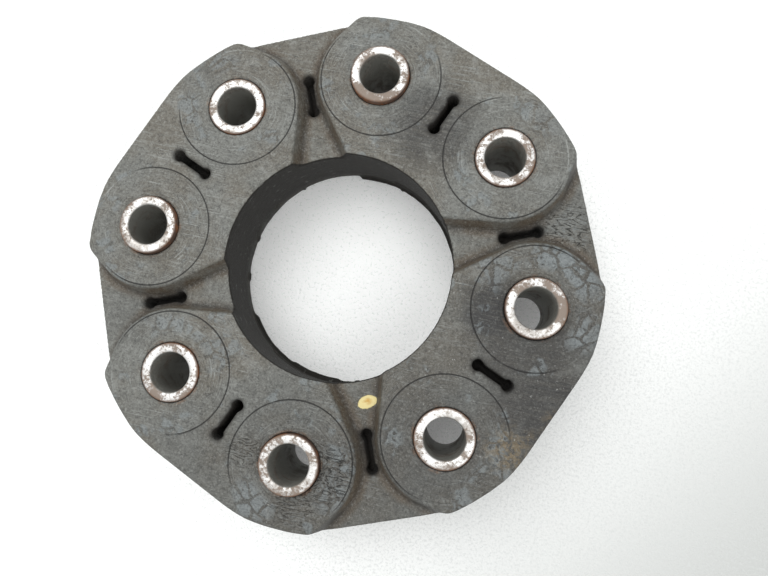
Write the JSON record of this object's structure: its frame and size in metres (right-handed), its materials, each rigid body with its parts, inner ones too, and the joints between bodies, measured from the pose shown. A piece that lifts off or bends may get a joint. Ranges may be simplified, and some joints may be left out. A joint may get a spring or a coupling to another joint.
{
  "type": "flexible disc coupling",
  "caption": "Flexible rubber disc coupling for a propeller shaft: steel sleeves on a bolt circle, raised and sunk links by turns, and an open centre.",
  "frame": {"origin": "centre of the disc, half way through its thickness", "axes": "+Z along the disc's axis, towards the front; +X through the first sleeve"},
  "size_m": [0.1586, 0.1586, 0.0382],
  "materials": {
    "rubber": "worn matt rubber, grey with handling",
    "sleeve_steel": "bright face-turned ends with rust",
    "cord": "wound polyester cord"
  },
  "bodies": {
    "root": {"rubber_disc": "rubber", "sleeve_1": "sleeve_steel", "sleeve_2": "sleeve_steel", "sleeve_3": "sleeve_steel", "sleeve_4": "sleeve_steel", "sleeve_5": "sleeve_steel", "sleeve_6": "sleeve_steel", "sleeve_7": "sleeve_steel", "sleeve_8": "sleeve_steel", "cord_loop_1": "cord", "cord_loop_2": "cord", "cord_loop_3": "cord", "cord_loop_4": "cord", "cord_loop_5": "cord", "cord_loop_6": "cord", "cord_loop_7": "cord", "cord_loop_8": "cord"}
  },
  "joints": []
}
